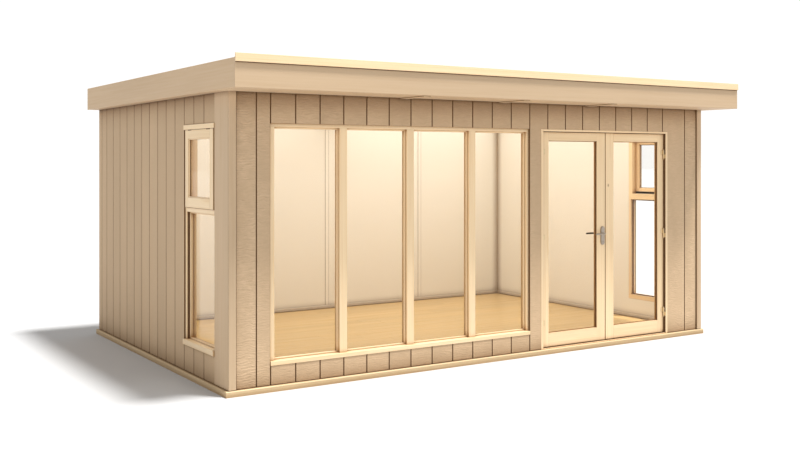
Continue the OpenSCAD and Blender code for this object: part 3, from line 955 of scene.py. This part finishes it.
def bead_profile(glass, way, width, depth):
    """A glazing bead against a pane's face at the level glass, rounded on its outer corner. It
    stands off the face towards higher levels for way 1, or lower ones for way -1."""
    start = glass + way * GASKET
    end = start + way * depth
    curve = min(width, depth) * 0.55
    points = [(0.0, start), (width, start)]
    for i in range(4):
        angle = i * math.pi / 6
        points.append((width - curve * (1 - math.cos(angle)), end - way * curve * (1 - math.sin(angle))))
    points.append((0.0, end))
    return points


def inner_bead(beads, low, high, depth):
    """A slim bead on the face of a pane that looks into the room."""
    beads.ring(low, high, D, bead_profile(high.y, 1, INNER_BEAD, depth))


def outer_bead(beads, seals, low, high, width, depth):
    """A bead on the outer face of a pane, and the dark seal under it."""
    beads.ring(low, high, D, bead_profile(low.y, -1, width, depth))
    seals.ring(low, high, D, flat(0, width + GASKET / 2, low.y, low.y - GASKET))


def lined(seals, low, high, start, end):
    """A thin dark strip up each side of an opening, from start to end of its depth, painted shade on its
    reveal.
    """
    for a, b in ((low.x, low.x + SHADE_STRIP_T), (high.x - SHADE_STRIP_T, high.x)):
        seals.beam(a, b, start, end, low.z, high.z, Z, SHADE_STRIP_T / 4)


def framed(piece, low, high, pane):
    """Two upright stiles with rails between them, round a pane."""
    inner_low, inner_high = pane
    for a, b in ((low.x, inner_low.x), (inner_high.x, high.x)):
        piece.beam(a, b, low.y, high.y, low.z, high.z, Z)
    for z0, z1 in ((low.z, inner_low.z), (inner_high.z, high.z)):
        piece.beam(inner_low.x, inner_high.x, low.y, high.y, z0, z1, U)


def front_sill():
    """The long sill, with a rounded nose and a top that falls outwards."""
    low, high = FRONT_FACE.node("front_window_sill")
    top = high.z - SILL_FALL
    outline = [(low.y, low.z), (low.y, top - FACE_EASE), (low.y + FACE_EASE * 0.3, top - FACE_EASE * 0.3),
               (low.y + FACE_EASE, top), (high.y - SILL_LEVEL, high.z), (high.y, high.z), (high.y, low.z)]
    sill = Piece("front_window_sill_board", FRONT_FACE)
    sill.prism(outline, U, low.x, high.x)
    sill.done("pine", PINE, nodes=["front_window_sill"])


def front_window():
    boards("front_window_head_rail", "front_window_head", U, EASE, "pine", PINE, FRONT_FACE)
    posts = Piece("front_window_mullions", FRONT_FACE)
    for low, high in FRONT_FACE.solids("front_window_posts"):
        posts.bar(low - Vector((0, 0, SILL_FALL)), high, Z, EASE * 1.5)
    posts.done("pine", PINE, nodes=["front_window_posts"])
    beads = Piece("front_window_beads", FRONT_FACE)
    seals = Piece("front_window_seals", FRONT_FACE)
    for pane in FRONT_FACE.solids("front_window_glass"):
        outer_bead(beads, seals, *pane, BEAD_W, BEAD_D)
        inner_bead(beads, *pane, BEAD_W)
    beads.done("pine", PINE)
    seals.done("pine", RUBBER_AND_SHADE)


def hinge_flags(name, face, low, high):
    """The two small hinge leaves that show over a sash."""
    flags = Piece(name, face)
    for share in (0.17, 0.83):
        u = low.x + share * (high.x - low.x)
        start = (u - FLAG_W / 2, low.y - FLAG_T, high.z - FLAG_H)
        flags.bar(start, (u + FLAG_W / 2, low.y, high.z + SASH_GAP), U, FLAG_EASE)
    flags.done("steel", RUBBER_AND_SHADE)


def end_window(side, face):
    name = side + "_window_"
    lower, upper = sorted(face.solids(name + "glass"), key=lambda box: box[0].z)
    low, high = face.node(name + "frame")
    sash = face.node(name + "sash")
    rebate = sash[1].y
    jamb = lower[0].x - low.x
    lap = sash[0].x - low.x + SASH_LAP
    transom_top = sash[0].z - SASH_GAP
    behind_sash = (Vector((low.x + lap, 0, transom_top + SASH_LAP)),
                   Vector((high.x - lap, 0, high.z - SASH_LAP)))

    surround = Piece(name + "surround", face)
    for a, b in ((low.x, low.x + jamb), (high.x - jamb, high.x)):
        surround.beam(a, b, low.y, high.y, low.z, transom_top, Z)
    surround.beam(low.x + jamb, high.x - jamb, low.y, high.y, lower[1].z, transom_top, U)
    framed(surround, Vector((low.x, rebate, transom_top)), high, behind_sash)
    surround.done("pine", PINE, nodes=[name + "frame"])
    boards(name + "sill_and_head", name + "boards", U, FACE_EASE, "pine", PINE, face)

    casement = Piece(name + "casement", face)
    framed(casement, *sash, upper)
    casement.done("pine", PINE, nodes=[name + "sash"])
    hinge_flags(name + "hinge_flags", face, *sash)

    beads = Piece(name + "beads", face)
    seals = Piece(name + "seals", face)
    outer_bead(beads, seals, *lower, BEAD_W, BEAD_D)
    # A dark strip up each side of the lower pane's reveal: painted shade.
    lined(seals, *lower, low.y + REVEAL_START, lower[0].y - BEAD_D - GASKET)
    outer_bead(beads, seals, *upper, SASH_BEAD, SASH_BEAD_D)
    inner_bead(beads, *upper, SASH_BEAD)
    # A dark ring in the gap round the sash: painted shade.
    profile = flat(0, lap - SASH_SHADE_INSET, rebate - SASH_SHADE_D, rebate)
    seals.ring((low.x + SASH_SHADE_INSET, 0, transom_top), (high.x - SASH_SHADE_INSET, 0, high.z), D, profile)
    beads.done("pine", PINE)
    seals.done("pine", RUBBER_AND_SHADE)

    liner = Piece(name + "liner", face)
    liner.ring(*lower, D, flat(0, LINER_T, lower[1].y + GASKET, high.y))
    liner.ring(*behind_sash, D, flat(0, LINER_T, rebate, high.y))
    liner.done("pine", PINE)


# ---- doors ----

def door_jambs(leaf_low, stop):
    """A timber up each side, with a stop behind the leaf and a dark strip of painted shade beside it."""
    jambs = Piece("door_jamb_timbers", FRONT_FACE)
    seals = Piece("door_jamb_seals", FRONT_FACE)
    for way, (low, high) in zip((1, -1), FRONT_FACE.solids("door_jambs")):
        outer, tip = (low.x, high.x)[::way]
        inner = tip - way * STOP_T
        jambs.beam(*sorted((outer, inner)), low.y, high.y, low.z, high.z, Z)
        jambs.beam(*sorted((inner, tip)), stop, high.y, low.z, high.z, Z)
        # A dark strip on the jamb's side beside the leaf: painted shade.
        a, b = sorted((inner, inner + way * SHADE_STRIP_T))
        seals.beam(a, b, low.y + 2 * EASE, leaf_low.y, low.z, high.z, Z, SHADE_STRIP_T / 4)
    jambs.done("pine", PINE, nodes=["door_jambs"])
    seals.done("pine", RUBBER_AND_SHADE)


def door_frame():
    leaf_low, leaf_high = FRONT_FACE.node("left_door_leaf")
    stop = leaf_high.y + STOP_GAP
    door_jambs(leaf_low, stop)

    low, high = FRONT_FACE.node("door_head")
    head = Piece("door_head_rail", FRONT_FACE)
    head.beam(low.x, high.x, low.y, high.y, low.z + STOP_T, high.z, U)
    head.beam(low.x + STOP_T, high.x - STOP_T, stop, high.y, low.z, low.z + STOP_T, U)
    head.done("pine", PINE, nodes=["door_head"])

    low, high = FRONT_FACE.node("door_threshold")
    sill = Piece("door_sill", FRONT_FACE)
    sill.beam(low.x, high.x, low.y, stop, low.z, leaf_low.z - STOP_GAP, U)
    sill.beam(low.x + STOP_T, high.x - STOP_T, stop, high.y, low.z, high.z, U)
    sill.done("pine", PINE, nodes=["door_threshold"])


def door_leaf(side):
    body = side + "_door"
    pane = FRONT_FACE.node(body + "_glass")
    leaf = Piece(body + "_frame", FRONT_FACE)
    framed(leaf, *FRONT_FACE.node(body + "_leaf"), pane)
    leaf.done("pine", PINE, nodes=[body + "_leaf"], body=body)
    beads = Piece(body + "_beads", FRONT_FACE)
    inner_bead(beads, *pane, DOOR_BEAD_D)
    beads.done("pine", PINE, body=body)
    # Dark strips up the sides of the pane's reveal: painted shade.
    seals = Piece(body + "_seals", FRONT_FACE)
    lined(seals, *pane, pane[0].y - DOOR_SHADE_D, pane[0].y)
    seals.done("pine", RUBBER_AND_SHADE, body=body)


# ---- hardware ----

def screw(piece, centre, facing):
    """A slotted screw head that faces along y, made of two halves."""
    normal = Vector((0, facing, 0))
    side = normal.cross(UP)
    slot = SCREW_R * 0.12
    for way in (1, -1):
        rings = []
        for height, share in ((0.0, 1.0), (0.0006, 1.0), (0.001, 0.75)):
            reach = SCREW_R * share
            start = math.asin(slot / reach)
            ring = []
            for i in range(9):
                angle = start + (math.pi - 2 * start) * i / 8
                offset = side * reach * math.cos(angle) + UP * way * reach * math.sin(angle)
                ring.append(piece.mesh.verts.new(Vector(centre) + offset + normal * height))
            rings.append(ring)
        piece.skin(rings)


def finial_profile(radius):
    """A turned tip: a neck and a small ball."""
    points = [(radius - 0.0006, 0.0), (radius * 0.5, TIP_H * 0.12)]
    for i in range(1, 6):
        angle = -math.pi / 3 + i * math.pi / 6.2
        width = max(radius * 0.8 * math.cos(angle), 0.0003)
        points.append((width, TIP_H * 0.5 + TIP_H * 0.45 * math.sin(angle)))
    return points


def knuckle(piece, x, y, z, height, radius, way):
    """A hinge barrel that starts at z, with a tip over it for way 1, or under it for way -1."""
    ease = KNUCKLE_EASE
    profile = [(radius - ease, 0.0), (radius, ease), (radius, height - ease), (radius - ease, height)]
    piece.lathe(Vector((x, y, z)), (0, 0, 1), profile)
    tip = z + height if way > 0 else z
    piece.lathe(Vector((x, y, tip)), (0, 0, way), finial_profile(radius))


def joint(name):
    return next(j for j in frame["joints"] if j["name"] == name)


def hinges(side):
    """The leaf halves of a door's lift-off hinges, each with its plate and screws. The frame halves
    need their pin (x, y), radius and way, and the (z, height) of each."""
    x, y = joint(side + "_door_hinge")["pos_m"][:2]
    leaf_halves = solids(side + "_door_hinges")
    way = 1 if side == "left" else -1
    reach = max(abs(corner.x - x) for corner in leaf_halves[0])
    leaf_y = max(corner.y for corner in leaf_halves[0])
    radius = y - leaf_halves[0][0].y
    a, b = sorted((x, x + way * reach))
    places = [(low.z, high.z - low.z) for low, high in leaf_halves]
    moving = Piece(side + "_door_hinge_halves")
    for z, height in places:
        knuckle(moving, x, y, z, height, radius, 1)
        moving.prism(eased(z, a, z + height, b, 0.004), D, leaf_y - HINGE_PLATE_T, leaf_y)
        for share in (0.25, 0.75):
            screw(moving, (x + way * reach * 0.66, leaf_y - HINGE_PLATE_T, z + share * height), -1)
    moving.done("steel", YELLOW_STEEL, nodes=[side + "_door_hinges"], body=side + "_door", smooth=True)
    return x, y, radius, way, places


def frame_hinge_halves():
    fixed = Piece("door_frame_hinge_halves")
    corners = [corner for box in solids("frame_hinges") for corner in box]
    front = min(corner.y for corner in corners)
    for side in ("left", "right"):
        x, y, radius, way, places = hinges(side)
        beside = x - way * JAMB_REACH
        jamb = min((corner.x for corner in corners), key=lambda value: abs(value - beside))
        a, b = sorted((jamb, jamb + way * HINGE_PLATE_T))
        for z, height in places:
            knuckle(fixed, x, y, z - HINGE_GAP - height, height, radius, -1)
            fixed.prism(eased(front, z - height, y, z - HINGE_GAP, 0.003), U, a, b)
    fixed.done("steel", YELLOW_STEEL, nodes=["frame_hinges"], smooth=True)


def backplate_outline(x, low_z, high_z, radius, steps=14):
    """A plate with round ends, as points (z, x)."""
    points = []
    for centre, start in ((high_z - radius, 0.0), (low_z + radius, math.pi)):
        for i in range(steps + 1):
            angle = start + math.pi * i / steps
            points.append((centre + radius * math.sin(angle), x + radius * math.cos(angle)))
    return points


def plate_boxes():
    """The boxes of the two backplates, the outer one first."""
    return sorted(solids("left_door_plates"), key=lambda box: box[0].y)


def keyhole(holes, x, y, z, way):
    """A dark keyhole that stands on the ring round it: a round hole with a slot under it."""
    a, b = sorted((y, y + way * KEYHOLE_T))
    holes.lathe(Vector((x, y, z + 0.001)), (0, way, 0), [(0.0032, 0.0), (0.0032, KEYHOLE_T)])
    foot = z - 0.0055
    holes.prism([(foot, x - 0.0012), (foot, x + 0.0012), (z, x + 0.001), (z, x - 0.001)], D, a, b)


def backplates():
    """Domed plates with a turned rose, a keyhole and two screws on each face of the left leaf."""
    x, z = joint("lever_turn")["pos_m"][::2]
    key_z = z - KEYHOLE_DROP
    piece = Piece("left_door_backplates")
    holes = Piece("left_door_keyholes")
    for (low, high), way in zip(plate_boxes(), (-1, 1)):
        back, front = (low.y, high.y)[::way]
        step = front - way * PLATE_STEP
        for inset, a, b in ((0.0, back, step), (0.002, step, front)):
            outline = backplate_outline(x, low.z + inset, high.z - inset, (high.x - low.x) / 2 - inset)
            piece.prism(outline, D, *sorted((a, b)))
        piece.lathe(Vector((x, front, z)), (0, way, 0), ROSE)
        for place in (high.z - PLATE_SCREW, low.z + PLATE_SCREW):
            screw(piece, (x, front, place), way)
        piece.lathe(Vector((x, front, key_z)), (0, way, 0), KEY_RING)
        keyhole(holes, x, front + way * 0.0012, key_z, way)
    piece.done("steel", STEEL, nodes=["left_door_plates"], body="left_door", smooth=True)
    holes.done("steel", RUBBER_AND_SHADE, body="left_door")


def lever_path(x, y, z, grip_y, tip_x, radius, steps=8):
    """Out from the plate, round an elbow and along to the tip, with the section at each point."""
    way = 1 if grip_y > y else -1
    path = [Vector((x, y, z)), Vector((x, y + way * 0.006, z))]
    sizes = [(radius, radius), (radius * 0.85, radius * 0.85)]
    for i in range(steps + 1):
        angle = math.pi / 2 * i / steps
        place = x - ELBOW * (1 - math.cos(angle))
        path.append(Vector((place, grip_y - way * ELBOW * (1 - math.sin(angle)), z)))
        sizes.append((radius * 0.85, radius * (0.85 + 0.15 * i / steps)))
    start = x - ELBOW
    for i in range(1, 13):
        share = i / 12
        place = start + (tip_x + radius * 0.6 - start) * share
        swell = math.sin(math.pi * share)
        path.append(Vector((place, grip_y - way * 0.003 * swell, z + 0.0015 * swell)))
        sizes.append((radius * (0.85 - 0.2 * share), radius * (1.0 - 0.08 * share)))
    for i in range(1, 5):
        angle = math.pi / 2 * i / 4.4
        path.append(Vector((tip_x + radius * 0.6 * (1 - math.sin(angle)), grip_y, z)))
        sizes.append((radius * 0.65 * math.cos(angle), radius * 0.92 * math.cos(angle)))
    return path, sizes


def levers():
    x, z = joint("lever_turn")["pos_m"][::2]
    low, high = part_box("left_door_levers")
    outer, inner = plate_boxes()
    radius = (high.z - low.z) / 2
    piece = Piece("left_door_lever_handles")
    ends = ((outer[0].y, low.y + radius), (inner[1].y, high.y - radius))
    for finish, (face_y, grip_y) in enumerate(ends):
        piece.finish = finish
        piece.sweep(*lever_path(x, face_y, z, grip_y, low.x, radius))
    piece.done("steel", STEEL, DARK_STEEL, nodes=["left_door_levers"], body="left_lever", smooth=True)


# ---- light and camera ----

def stage_floor():
    s = Shader("stage_floor", Roughness=0.9)
    s.set(Base_Color=s.ramp(s.noise(s.place(), 0.4), tint(0.55, 0.55, 0.55), tint(0.56, 0.56, 0.56)))
    reach = 150.0
    data = bpy.data.meshes.new("stage_floor")
    corners = [(-reach, -reach, 0), (reach, -reach, 0), (reach, reach, 0), (-reach, reach, 0)]
    data.from_pydata(corners, [], [(0, 1, 2, 3)])
    data.materials.append(s.material)
    obj = linked("stage_floor", data)


def studio_sky(ambient, backdrop):
    """An even pale sky of strength ambient, which the camera sees at strength backdrop."""
    world = bpy.data.worlds.new("studio")
    bpy.context.scene.world = world
    world.use_nodes = True
    sky = Nodes(world.node_tree)
    sky.nodes.clear()
    dim = sky.add("Background", {"Color": tint(1.0, 1.0, 1.0), "Strength": ambient})
    white = sky.add("Background", {"Color": tint(1.0, 1.0, 1.0), "Strength": backdrop})
    camera_ray = sky.add("LightPath", {}, "Is Camera Ray")
    mixed = sky.add("MixShader", {0: camera_ray, 1: dim, 2: white})
    output = sky.nodes.new("ShaderNodeOutputWorld")
    sky.put(output.inputs["Surface"], mixed)


def add_light(name, kind, energy, **values):
    data = bpy.data.lights.new(name, kind)
    data.energy = energy
    for key, value in values.items():
        setattr(data, key, value)
    return linked(name, data)


def lights():
    studio_sky(0.62, 1.05)
    sun = add_light("sun", "SUN", 5.2, angle=math.radians(9))
    sun.rotation_euler = Vector((0.23, -0.23, 1.0)).to_track_quat("Z", "Y").to_euler()
    for name, middle, energy in (("left_room_light", -1.2, 25.0), ("right_room_light", 1.2, 31.5)):
        room = add_light(name, "AREA", energy, shape="RECTANGLE", size=2.2, size_y=2.9)
        room.data.color = (0.94, 0.98, 1.0)
        room.location = (middle, (FRONT + BACK) / 2, TOP - 0.05)
        room.visible_camera = False
        room.visible_glossy = False


def camera():
    data = bpy.data.cameras.new("camera")
    data.lens = 45.19
    data.sensor_width = 36.0
    data.shift_y = -0.0795
    data.clip_end = 500.0
    obj = linked("camera", data)
    obj.location = (-5.2825, -8.0265, 1.6695)
    obj.rotation_euler = (math.radians(90), 0.0, math.radians(-32.81))
    bpy.context.scene.camera = obj


# ---- the whole scene ----

def paint_glass():
    for name, obj in frame["nodes"].items():
        if name.endswith("_glass"):
            for entry in obj.material_slots:
                entry.material = GLASS


def build():
    camera()
    lights()
    stage_floor()
    base()
    floor()
    front_cladding()
    back_cladding()
    for side, face in ENDS:
        end_cladding(side, face)
    corner_trims()
    foot_strip()
    wall_lining("front", FRONT_FACE, ROOM_X0, ROOM_X1, FRONT_OPENINGS)
    wall_lining("back", BACK_FACE, ROOM_X0, ROOM_X1, [])
    for side, face in ENDS:
        wall_lining(side, face, FRONT + SKIN, BACK - SKIN, END_OPENINGS[side], False)
    skirting()
    ceiling()
    fascias()
    roof_strip()
    soffit()
    roof_cover()
    front_sill()
    front_window()
    for side, face in ENDS:
        end_window(side, face)
    door_frame()
    for side, face in ENDS:
        door_leaf(side)
    frame_hinge_halves()
    backplates()
    levers()
    paint_glass()


build()
bpy.context.scene.view_settings.view_transform = "Standard"
